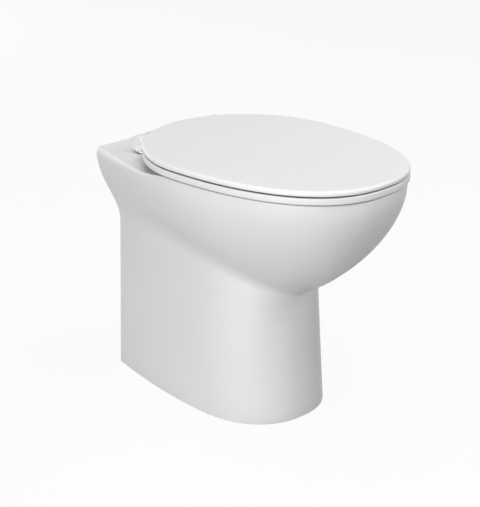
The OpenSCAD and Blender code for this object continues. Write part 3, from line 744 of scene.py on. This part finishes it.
def turned(profile, start, axis):
    """Spins a profile of (place along the axis, radius) about the axis, from its start."""
    bm = bmesh.new()
    lie = Vector(axis).to_track_quat("X", "Y").to_matrix()
    verts = [bm.verts.new(lie @ metres((along, 0, r))) for along, r in profile]
    edges = [bm.edges.new(ends) for ends in zip(verts, verts[1:])]
    if profile[0][1] and profile[-1][1]:
        edges.append(bm.edges.new((verts[-1], verts[0])))
    bmesh.ops.spin(bm, geom=verts + edges, cent=(0, 0, 0), axis=axis, angle=math.tau,
                   steps=ROUND_STEPS, use_merge=True)
    bmesh.ops.remove_doubles(bm, verts=bm.verts, dist=MERGE_DIST)
    bmesh.ops.translate(bm, verts=bm.verts, vec=metres(start))
    bmesh.ops.recalc_face_normals(bm, faces=bm.faces)
    return bm


def rounded(length, r, edge, far_edge=None):
    """Profile of a round bar whose two ends have rounded edges."""
    far = edge if far_edge is None else far_edge
    round_edge = quarter(BAR_EDGE_STEPS)
    return [(0, 0), *((edge * (1 - s), r - edge * (1 - c)) for s, c in reversed(round_edge)),
            *((length - far * (1 - s), r - far * (1 - c)) for s, c in round_edge), (length, 0)]


def hinge_bar(start, end, r, edge):
    """A rounded bar on the hinge line, from one place to another."""
    way = 1 if end > start else -1
    return piece("tool", turned(rounded(abs(end - start), r, edge), (start, HINGE_Y, HINGE_Z),
                                (way, 0, 0)))


# White urea-formaldehyde, pressed in a steel mould: hard, with a broad soft sheen, a faint orange
# peel about 2 mm across and slow differences in gloss, 80 mm wide, where the powder flowed.
thermoset = material("pressed_urea_thermoset")
place = add(thermoset, "ShaderNodeTexCoord", "Object", {})
peel = add(thermoset, "ShaderNodeTexNoise", "Fac", {
    "Vector": place, "Scale": patches(2), "Detail": 1.0})
flow = add(thermoset, "ShaderNodeTexNoise", "Fac", {
    "Vector": place, "Scale": patches(80), "Detail": 2.0, "Distortion": 0.4})
peeled = add(thermoset, "ShaderNodeBump", "Normal", {
    "Height": peel, "Distance": 0.00002, "Strength": 0.5})
tone = add(thermoset, "ShaderNodeMix", "Result", {
    "Factor": flow, "A": linear("EDEDEC"), "B": linear("F3F3F3")}, data_type="RGBA")
gloss = add(thermoset, "ShaderNodeMapRange", "Result", {
    "Value": flow, "From Min": 0.3, "From Max": 0.7, "To Min": 0.4, "To Max": 0.48})
pressed = add(thermoset, "ShaderNodeBsdfPrincipled", "BSDF", {
    "Base Color": tone, "Roughness": gloss, "IOR": 1.54, "Normal": peeled})
add(thermoset, "ShaderNodeOutputMaterial", None, {"Surface": pressed})


def post_notch(s, low, high, inner):
    """The space that a post and its base need at the back of the seat or the cover."""
    return side_block(s, (inner, CLEAR_Y, low), (POST[1] + OVER, WALL_Y, high),
                      round_r=NOTCH_EDGE_R, along=Z_AXIS)


rings = [outline(LOW_R * (1 - s), SEAT_Z + LOW_R * (1 - c)) for s, c in quarter(LOW_RINGS)]
rings += [outline(SEAT_EDGE_R * (1 - c), SEAT_TOP - SEAT_EDGE_R * (1 - s))
          for s, c in quarter(SEAT_EDGE_RINGS)]
rings += [outline(mix(SEAT_EDGE_R, BEAD_W, t), SEAT_TOP - BEAD_H * smooth(t))
          for t in steps(BEAD_RINGS, 1)]
rings += [hole(mix(DISH_W, SEAT_INNER_R, t), SEAT_TOP - DISH_H * smooth(t))
          for t in steps(DISH_RINGS)]
rings += [hole(SEAT_INNER_R * (1 - s), SEAT_TOP - DISH_H - SEAT_INNER_R * (1 - c))
          for s, c in quarter(SEAT_EDGE_RINGS, 1)]
rings += [hole(LOW_R * (1 - c), SEAT_Z + LOW_R * (1 - s)) for s, c in reversed(quarter(LOW_RINGS))]
seat = piece("seat_ring", loft(rings, closed=True), thermoset)
notch_low = SEAT_Z - NOTCH_OVER
notch_high = SEAT_TOP + NOTCH_OVER
joined(seat, "DIFFERENCE", [
    post_notch(-1, notch_low, notch_high, SEAT_LUG[1]),
    post_notch(1, notch_low, notch_high, SEAT_LUG[1]),
    block((-SEAT_LUG[0], CLEAR_Y, notch_low), (SEAT_LUG[0], WALL_Y, notch_high),
          round_r=NOTCH_EDGE_R, along=Z_AXIS)])
joined(seat, "UNION", [hinge_bar(s * SEAT_LUG[0], s * SEAT_LUG[1], LUG_R, LUG_EDGE) for s in (-1, 1)])
joined(seat, "DIFFERENCE", [
    hinge_bar(-SEAT_LUG[0] + OVER, -SEAT_LUG[1] - OVER, BUSH_R + PLAY, BORE_EDGE),
    hinge_bar(SEAT_LUG[1] - POCKET_LEN, SEAT_LUG[1] + OVER, DAMPER_R + PLAY, BORE_EDGE),
    hinge_bar(SEAT_LUG[0] - OVER, SEAT_LUG[1] - OVER, PIN_R + PIN_PLAY, BORE_EDGE)])
fitted(shaded(seat), "seat", "seat_plastic", "seat")

# COVER
# The lid, pressed from the same thermoset as the seat: a slightly crowned plate with a thick rounded
# edge, hollowed a little underneath, with two lugs between those of the seat. At the posts it is cut
# away to a height over the hinge line.
COVER_Z = SEAT_TOP + 2.5
COVER_TOP = COVER_Z + 8.0
COVER_EDGE_R = 5.0
COVER_LOW_R = 1.0
COVER_LIP = 13.0
COVER_RECESS = 2.5
COVER_OVER = 14.0
COVER_EDGE_RINGS = 8
CROWN = 1.2
CROWN_INSET = 115.0
CROWN_RINGS = 10
WEB_W = 9.0
WEB_EDGE_R = 0.5

rings = [[(0, SEAT_MID_Y, COVER_Z + COVER_RECESS)] * EGG_POINTS]
rings += [outline(COVER_LIP + COVER_RECESS * (1 - t), COVER_Z + COVER_RECESS * (1 - smooth(t)))
          for t in steps(LOW_RINGS)]
rings += [outline(COVER_LOW_R * (1 - s), COVER_Z + COVER_LOW_R * (1 - c))
          for s, c in quarter(LOW_RINGS)]
rings += [outline(COVER_EDGE_R * (1 - c), COVER_TOP - COVER_EDGE_R * (1 - s))
          for s, c in quarter(COVER_EDGE_RINGS)]
for inset in [mix(COVER_EDGE_R, CROWN_INSET, t) for t in steps(CROWN_RINGS, 1)]:
    rings.append(outline(inset, COVER_TOP + CROWN * smooth(inset / CROWN_INSET)))
rings.append([(0, SEAT_MID_Y, COVER_TOP + CROWN)] * EGG_POINTS)
cover = piece("cover_lid", loft(rings), thermoset)
joined(cover, "DIFFERENCE", [
    post_notch(s, COVER_Z - NOTCH_OVER, HINGE_Z + COVER_OVER, COVER_LUG[1]) for s in (-1, 1)])
lugs = [hinge_bar(s * COVER_LUG[0], s * COVER_LUG[1], LUG_R, LUG_EDGE) for s in (-1, 1)]
webs = [side_block(s, (COVER_LUG[0], HINGE_Y - WEB_W, HINGE_Z),
                   (COVER_LUG[1], HINGE_Y, COVER_Z + COVER_RECESS + OVER),
                   round_r=WEB_EDGE_R, along=Z_AXIS) for s in (-1, 1)]
joined(cover, "UNION", lugs + webs)
joined(cover, "DIFFERENCE", [
    hinge_bar(COVER_LUG[1] - POCKET_LEN, COVER_LUG[1] + OVER, BUSH_R + PLAY, BORE_EDGE),
    hinge_bar(-COVER_LUG[1] + POCKET_LEN, -COVER_LUG[1] - OVER, DAMPER_R + PLAY, BORE_EDGE)])
fitted(shaded(cover), "cover", "seat_plastic", "cover")

# BUFFERS
# Soft grey-white elastomer pads pushed into the underside of seat and cover, round with a rolled
# edge. Four under the seat rest on the rim and four under the cover rest on the seat.
SEAT_PAD_R = 6.0
SEAT_PAD_TURNS = (5, 55)
SEAT_PAD_INWARD = 2.0
COVER_PAD_R = 5.5
COVER_PAD_TURNS = (25, 62)
COVER_PAD_INSET = 26.0
PAD_GAP = 0.3
PAD_EDGE = 0.8
PAD_TOP_EDGE = 0.1

# Thermoplastic elastomer: matt and slightly greasy, picking up a little dust in patches 4 mm wide.
elastomer = material("soft_white_elastomer")
place = add(elastomer, "ShaderNodeTexCoord", "Object", {})
dust = add(elastomer, "ShaderNodeTexNoise", "Fac", {
    "Vector": place, "Scale": patches(4), "Detail": 4.0})
tone = add(elastomer, "ShaderNodeMix", "Result", {
    "Factor": dust, "A": linear("C2C2BF"), "B": linear("DADAD7")}, data_type="RGBA")
dull = add(elastomer, "ShaderNodeMapRange", "Result", {
    "Value": dust, "From Min": 0.3, "From Max": 0.7, "To Min": 0.55, "To Max": 0.75})
pad = add(elastomer, "ShaderNodeBsdfPrincipled", "BSDF", {"Base Color": tone, "Roughness": dull})
add(elastomer, "ShaderNodeOutputMaterial", None, {"Surface": pad})


def pads(name, places, low, high, r):
    """Pads with their rolled edge down, at places on both sides."""
    whole = bmesh.new()
    for x, y in places + [(-x, y) for x, y in places]:
        mesh = bpy.data.meshes.new("tool")
        turned(rounded(high - low, r, PAD_EDGE, PAD_TOP_EDGE), (x, y, low), (0, 0, 1)).to_mesh(mesh)
        whole.from_mesh(mesh)
        bpy.data.meshes.remove(mesh)
    return piece(name, whole, elastomer)


seat_pads = []
for a in SEAT_PAD_TURNS:
    r = egg(BOWL_HALF + LIP_R, BOWL_FRONT + LIP_R, RIM_POWER, a) + SEAT_PAD_R - SEAT_PAD_INWARD
    seat_pads.append((r * cos(a), MID_Y - r * sin(a)))
cover_pads = []
for a in COVER_PAD_TURNS:
    r = egg(SEAT_HALF - COVER_PAD_INSET, SEAT_FRONT - COVER_PAD_INSET, SEAT_FRONT_POWER, a)
    cover_pads.append((r * cos(a), SEAT_MID_Y - r * sin(a)))
under_seat = pads("seat_pads", seat_pads, RIM_Z + PAD_GAP, SEAT_Z, SEAT_PAD_R)
under_cover = pads("cover_pads", cover_pads, SEAT_TOP + PAD_GAP, COVER_Z + COVER_RECESS, COVER_PAD_R)
fitted(shaded(under_seat), "seat", "buffer_rubber", "seat_buffers")
fitted(shaded(under_cover), "cover", "buffer_rubber", "cover_buffers")

# HINGE POSTS
# Two barrels of white ABS that close the hinge line at its outer ends, each moulded with a narrow
# foot that stands on the base plate and screws down on the fixing bolt.
GASKET_T = 1.0
PLATE_T = 2.4
PLATE_Z = DECK_Z + GASKET_T
POST_Z = PLATE_Z + PLATE_T
POST_REST = 0.1
POST_MID_Z = POST_Z + POST_REST + POST_R
POST_EDGE = 0.3
POST_END_EDGE = 1.5
PIN_END_WALL = 3.0
STAND_HALF_W = 11.0
STAND_HALF_D = 6.0
STAND_EDGE_R = 1.2
STUD_DEPTH = 8.0
SCREW_R = 2.0
BOLT_R = 4.0

# ABS, injection moulded: smooth, with a soft gloss and faint flow lines 6 mm apart.
abs_white = material("gloss_moulded_abs")
place = add(abs_white, "ShaderNodeTexCoord", "Object", {})
lines = add(abs_white, "ShaderNodeTexNoise", "Fac", {
    "Vector": place, "Scale": patches(6), "Detail": 2.0, "Distortion": 0.6})
tone = add(abs_white, "ShaderNodeMix", "Result", {
    "Factor": lines, "A": linear("E0E0DF"), "B": linear("E9E9E8")}, data_type="RGBA")
sheen = add(abs_white, "ShaderNodeMapRange", "Result", {
    "Value": lines, "From Min": 0.3, "From Max": 0.7, "To Min": 0.4, "To Max": 0.5})
moulded = add(abs_white, "ShaderNodeBsdfPrincipled", "BSDF", {
    "Base Color": tone, "Roughness": sheen, "IOR": 1.54})
add(abs_white, "ShaderNodeOutputMaterial", None, {"Surface": moulded})


def mirrored(made, name):
    """The same piece on the left."""
    bm = bmesh.new()
    bm.from_mesh(made.data)
    bmesh.ops.scale(bm, vec=(-1, 1, 1), verts=bm.verts)
    bmesh.ops.reverse_faces(bm, faces=bm.faces)
    return piece(name, bm, *made.data.materials)


def pair(made, stem, body, slot, node):
    """Fits a right hand piece and its mirrored twin."""
    twin = mirrored(named(made, stem + "_right", *made.data.materials), stem + "_left")
    fitted(shaded(made), body, slot, node + "_right")
    fitted(shaded(twin), body, slot, node + "_left")


barrel = piece("post", turned(rounded(POST[1] - POST[0], POST_R, POST_EDGE, POST_END_EDGE),
                              (POST[0], HINGE_Y, POST_MID_Z), (1, 0, 0)), abs_white)
stand = block((FIXING_X - STAND_HALF_W, HINGE_Y - STAND_HALF_D, POST_Z),
              (FIXING_X + STAND_HALF_W, HINGE_Y + STAND_HALF_D, POST_MID_Z),
              round_r=STAND_EDGE_R, along=Z_AXIS)
joined(barrel, "UNION", [stand])
joined(barrel, "DIFFERENCE", [
    hinge_bar(POST[0] - OVER, POST[1] - PIN_END_WALL, PIN_R + PLAY, BORE_EDGE),
    rod((FIXING_X, HINGE_Y, POST_Z - OVER), (FIXING_X, HINGE_Y, POST_Z + STUD_DEPTH), BOLT_R + PLAY),
    rod((FIXING_X, HINGE_Y + PIN_R - OVER, HINGE_Z), (FIXING_X, HINGE_Y + POST_R + OVER, HINGE_Z),
        SCREW_R + PLAY)])
pair(barrel, "hinge_barrel", "base", "hinge_plastic", "hinge_post")

# BASE PLATES AND GASKETS
# A turned stainless disc under each post spreads its load on the deck, on a thin black rubber gasket
# that keeps the glaze from being scratched.
PLATE_R = 12.5
PLATE_EDGE = 0.5
GASKET_EDGE = 0.2
BOLT_PLAY = 0.2
WASHER_EDGE_STEPS = 3

# Stainless steel, faced on a lathe and handled since: fine marks, drawn 1 mm wide to be seen, and
# smears 4 mm wide.
stainless = material("turned_stainless_steel")
place = add(stainless, "ShaderNodeTexCoord", "Object", {})
smear = add(stainless, "ShaderNodeTexNoise", "Fac", {
    "Vector": place, "Scale": patches(4), "Detail": 4.0})
grooves = add(stainless, "ShaderNodeTexNoise", "Fac", {
    "Vector": place, "Scale": patches(1), "Detail": 2.0, "Roughness": 0.7})
tone = add(stainless, "ShaderNodeMix", "Result", {
    "Factor": smear, "A": linear("A9A9A8"), "B": linear("C9C9C8")}, data_type="RGBA")
worn = add(stainless, "ShaderNodeMapRange", "Result", {
    "Value": smear, "From Min": 0.3, "From Max": 0.7, "To Min": 0.25, "To Max": 0.42})
cut_marks = add(stainless, "ShaderNodeBump", "Normal", {
    "Height": grooves, "Distance": 0.00004, "Strength": 0.4})
metal = add(stainless, "ShaderNodeBsdfPrincipled", "BSDF", {
    "Base Color": tone, "Roughness": worn, "Metallic": 1.0, "Normal": cut_marks})
add(stainless, "ShaderNodeOutputMaterial", None, {"Surface": metal})

# Black EPDM rubber: dull and slightly bloomed with grey in patches 6 mm wide.
rubber = material("black_epdm_rubber")
place = add(rubber, "ShaderNodeTexCoord", "Object", {})
bloom = add(rubber, "ShaderNodeTexNoise", "Fac", {
    "Vector": place, "Scale": patches(6), "Detail": 5.0})
tone = add(rubber, "ShaderNodeMix", "Result", {
    "Factor": bloom, "A": linear("1C1C1D"), "B": linear("3A3A3B")}, data_type="RGBA")
grip = add(rubber, "ShaderNodeBump", "Normal", {
    "Height": bloom, "Distance": 0.0001, "Strength": 0.5})
dull_black = add(rubber, "ShaderNodeBsdfPrincipled", "BSDF", {
    "Base Color": tone, "Roughness": 0.75, "Normal": grip})
add(rubber, "ShaderNodeOutputMaterial", None, {"Surface": dull_black})


def washer(low, high, r, hole_r, edge):
    """Profile of a disc with a hole and rounded outer edges."""
    t = high - low
    round_edge = quarter(WASHER_EDGE_STEPS)
    return [(0, hole_r), *((edge * (1 - s), r - edge * (1 - c)) for s, c in reversed(round_edge)),
            *((t - edge * (1 - s), r - edge * (1 - c)) for s, c in round_edge), (t, hole_r)]


def on_bolt(profile, z, finish):
    """A turned piece on the right hand fixing bolt, from a height up."""
    return piece("part", turned(profile, (FIXING_X, HINGE_Y, z), (0, 0, 1)), finish)


plate = on_bolt(washer(PLATE_Z, POST_Z, PLATE_R, BOLT_R + BOLT_PLAY, PLATE_EDGE), PLATE_Z, stainless)
pair(plate, "post_plate", "base", "steel", "base_plate")
gasket = on_bolt(washer(DECK_Z, PLATE_Z, PLATE_R, BOLT_R + BOLT_PLAY, GASKET_EDGE), DECK_Z, rubber)
pair(gasket, "plate_gasket", "base", "black_rubber", "base_gasket")

# FIXING BOLTS, WASHERS AND WING NUTS
# An M8 stainless stud hangs from each post through the deck. From below it takes a nylon clamp
# washer and a nylon wing nut that is turned by hand.
THREAD_PITCH = 1.25
THREAD_H = 0.55
THREAD_CREST = (0.45, 0.55)
CLAMP_R = 16.0
CLAMP_EDGE = 1.0
CLAMP_Z = HOLLOW_TOP - 3.5
NUT_R = 8.5
NUT_H = 10.0
NUT_Z = CLAMP_Z - NUT_H
NUT_LOW_EDGE = 1.2
NUT_TOP_EDGE = 0.6
WING_HALF = 17.0
WING_T = 3.0
WING_H = 9.0
WING_EDGE_R = 1.3
STUD_Z = NUT_Z - 6.0
STUD_END_GAP = 0.1
STUD_LEN = POST_Z + STUD_DEPTH - STUD_END_GAP - STUD_Z
STUD_POINT = 1.0
STUD_TOP_POINT = 0.6

# Natural nylon, injection moulded: milky, satin, a little yellow, with sink marks 10 mm wide.
nylon = material("moulded_natural_nylon")
place = add(nylon, "ShaderNodeTexCoord", "Object", {})
sink = add(nylon, "ShaderNodeTexNoise", "Fac", {
    "Vector": place, "Scale": patches(10), "Detail": 3.0})
tone = add(nylon, "ShaderNodeMix", "Result", {
    "Factor": sink, "A": linear("DAD8CE"), "B": linear("E9E7DF")}, data_type="RGBA")
sunk = add(nylon, "ShaderNodeBump", "Normal", {
    "Height": sink, "Distance": 0.0002, "Strength": 0.4})
milky = add(nylon, "ShaderNodeBsdfPrincipled", "BSDF", {
    "Base Color": tone, "Roughness": 0.4, "IOR": 1.53, "Normal": sunk})
add(nylon, "ShaderNodeOutputMaterial", None, {"Surface": milky})

thread = [(0, 0), (0, BOLT_R - STUD_POINT)]
for k in range(int((STUD_LEN - 2 * STUD_POINT) / THREAD_PITCH)):
    root = STUD_POINT + k * THREAD_PITCH
    thread.append((root, BOLT_R - THREAD_H))
    thread += [(root + crest * THREAD_PITCH, BOLT_R) for crest in THREAD_CREST]
thread += [(STUD_LEN - STUD_TOP_POINT, BOLT_R - THREAD_H), (STUD_LEN, BOLT_R - STUD_POINT),
           (STUD_LEN, 0)]
pair(on_bolt(thread, STUD_Z, stainless), "stud", "base", "steel", "fixing_bolt")
clamp_disc = on_bolt(washer(CLAMP_Z, HOLLOW_TOP, CLAMP_R, BOLT_R + BOLT_PLAY, CLAMP_EDGE), CLAMP_Z,
                     nylon)
pair(clamp_disc, "clamp_disc", "base", "nylon", "clamp_washer")
nut = on_bolt(rounded(NUT_H, NUT_R, NUT_LOW_EDGE, NUT_TOP_EDGE), NUT_Z, nylon)
wings = block((FIXING_X - WING_HALF, HINGE_Y - WING_T / 2, NUT_Z),
              (FIXING_X + WING_HALF, HINGE_Y + WING_T / 2, NUT_Z + WING_H), round_r=WING_EDGE_R)
joined(nut, "UNION", [wings])
joined(nut, "DIFFERENCE", [
    rod((FIXING_X, HINGE_Y, NUT_Z - OVER), (FIXING_X, HINGE_Y, CLAMP_Z + OVER), BOLT_R + PLAY)])
pair(nut, "wing_grip", "base", "nylon", "wing_nut")

# INSIDE THE HINGES
# Steel pins with their grub screws, nylon bushes on one side and black damper cartridges with nylon
# rotors on the other, and the rubber sleeves round the studs. Their solids are right as they are.
DAMPER_NODES = ("seat_damper", "cover_damper")
NYLON_NODES = ("seat_bush", "cover_bush", "seat_damper_rotor", "cover_damper_rotor")
STEEL_NODES = ("pivot_pin_left", "pivot_pin_right", "pin_screw_left", "pin_screw_right")
RUBBER_NODES = ("rubber_sleeve_left", "rubber_sleeve_right")

# Black acetal, moulded: dense and satin, with a fine bloom in patches 5 mm wide.
acetal = material("black_moulded_acetal")
place = add(acetal, "ShaderNodeTexCoord", "Object", {})
bloom = add(acetal, "ShaderNodeTexNoise", "Fac", {
    "Vector": place, "Scale": patches(5), "Detail": 4.0})
tone = add(acetal, "ShaderNodeMix", "Result", {
    "Factor": bloom, "A": linear("252526"), "B": linear("343435")}, data_type="RGBA")
satin = add(acetal, "ShaderNodeMapRange", "Result", {
    "Value": bloom, "From Min": 0.3, "From Max": 0.7, "To Min": 0.35, "To Max": 0.5})
case = add(acetal, "ShaderNodeBsdfPrincipled", "BSDF", {"Base Color": tone, "Roughness": satin})
add(acetal, "ShaderNodeOutputMaterial", None, {"Surface": case})

for names, finish in ((DAMPER_NODES, acetal), (NYLON_NODES, nylon), (STEEL_NODES, stainless),
                      (RUBBER_NODES, rubber)):
    for name in names:
        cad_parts[name].data.materials.clear()
        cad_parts[name].data.materials.append(finish)

# FLOOR, LIGHT AND CAMERA
# A plain white studio floor, a large softbox beside the camera and one overhead, a weak fill from
# the right and one behind. The camera stands where the photograph was taken from. Here lengths are
# in metres.
FLOOR_HALF = 12.0
FLOOR_DROP = 0.0005
LAMP_AIM = Vector((0, 0.02, 0.25))
CAMERA_AIM = Vector((0.08056, 0.12253, 0.2))
AZIMUTH = -44.81
ELEVATION = 20.94
DISTANCE = 2.64755
FOCAL_PX = 1533.57
PHOTO_H = 507
SENSOR_MM = 36.0

floor_bm = bmesh.new()
bmesh.ops.create_grid(floor_bm, x_segments=1, y_segments=1, size=FLOOR_HALF)
bmesh.ops.translate(floor_bm, verts=floor_bm.verts, vec=(0, 0, -FLOOR_DROP))
floor = piece("studio_floor", floor_bm)


def seen_directly(made):
    """1 for what the camera sees, also in gloss and through glass, and 0 for the rest of the light."""
    path = add(made, "ShaderNodeLightPath", "Is Camera Ray", {}).node
    seen = path.outputs["Is Camera Ray"]
    for ray in ("Is Glossy Ray", "Is Transmission Ray"):
        seen = add(made, "ShaderNodeMath", "Value", {0: seen, 1: path.outputs[ray]}, operation="MAXIMUM")
    return seen


# Matt white paper. What the camera and reflections see is lifted to paper white; the rest of the
# light meets a duller floor, so that the pan isn't lit from below.
paper = material("white_studio_paper")
seen = seen_directly(paper)
shade = add(paper, "ShaderNodeMix", "Result", {
    "Factor": seen, "A": linear("505050"), "B": linear("F4F4F4")}, data_type="RGBA")
lit = add(paper, "ShaderNodeBsdfDiffuse", "BSDF", {"Color": shade})
glow = add(paper, "ShaderNodeEmission", "Emission", {"Color": linear("FFFFFF"), "Strength": 1.0})
lift = add(paper, "ShaderNodeMath", "Value", {0: seen, 1: 0.92}, operation="MULTIPLY")
sheet = add(paper, "ShaderNodeMixShader", "Shader", {0: lift, 1: lit, 2: glow})
add(paper, "ShaderNodeOutputMaterial", None, {"Surface": sheet})
floor.data.materials.append(paper)

# Air that is white behind the pan and grey as a light.
world = bpy.data.worlds.new("studio")
bpy.context.scene.world = world
world.use_nodes = True
world.node_tree.nodes.clear()
air = add(world, "ShaderNodeMix", "Result", {
    "Factor": seen_directly(world), "A": linear("5C5C5C"), "B": linear("FFFFFF")}, data_type="RGBA")
sky = add(world, "ShaderNodeBackground", "Background", {"Color": air, "Strength": 1.0})
add(world, "ShaderNodeOutputWorld", None, {"Surface": sky})


def towards(azimuth, elevation):
    """The way from the pan to something at a compass direction and a height, both in degrees."""
    return Vector((sin(azimuth) * cos(elevation), -cos(azimuth) * cos(elevation), sin(elevation)))


def softbox(name, azimuth, elevation, distance, width, height, watts):
    """An area lamp that looks at the pan from a compass direction and a height."""
    lamp = bpy.data.lights.new(name, "AREA")
    lamp.shape = "RECTANGLE"
    lamp.size = width
    lamp.size_y = height
    lamp.energy = watts
    stand = bpy.data.objects.new(name, lamp)
    stand.location = LAMP_AIM + towards(azimuth, elevation) * distance
    stand.rotation_euler = towards(azimuth, elevation).to_track_quat("Z", "Y").to_euler()
    bpy.context.scene.collection.objects.link(stand)


softbox("key_softbox", -66, 5, 3.2, 2.6, 1.0, 79)
softbox("top_softbox", -20, 78, 2.4, 2.0, 2.0, 34)
softbox("fill_softbox", 44, 34, 3.0, 1.2, 1.2, 26)
softbox("back_softbox", 172, 8, 3.2, 2.2, 1.2, 17)

lens = bpy.data.cameras.new("camera")
lens.sensor_width = SENSOR_MM
lens.lens = FOCAL_PX * SENSOR_MM / PHOTO_H
camera = bpy.data.objects.new("camera", lens)
camera.location = CAMERA_AIM + towards(AZIMUTH, ELEVATION) * DISTANCE
camera.rotation_euler = towards(AZIMUTH, ELEVATION).to_track_quat("Z", "Y").to_euler()
bpy.context.scene.collection.objects.link(camera)
bpy.context.scene.camera = camera
bpy.context.scene.view_settings.view_transform = "Standard"
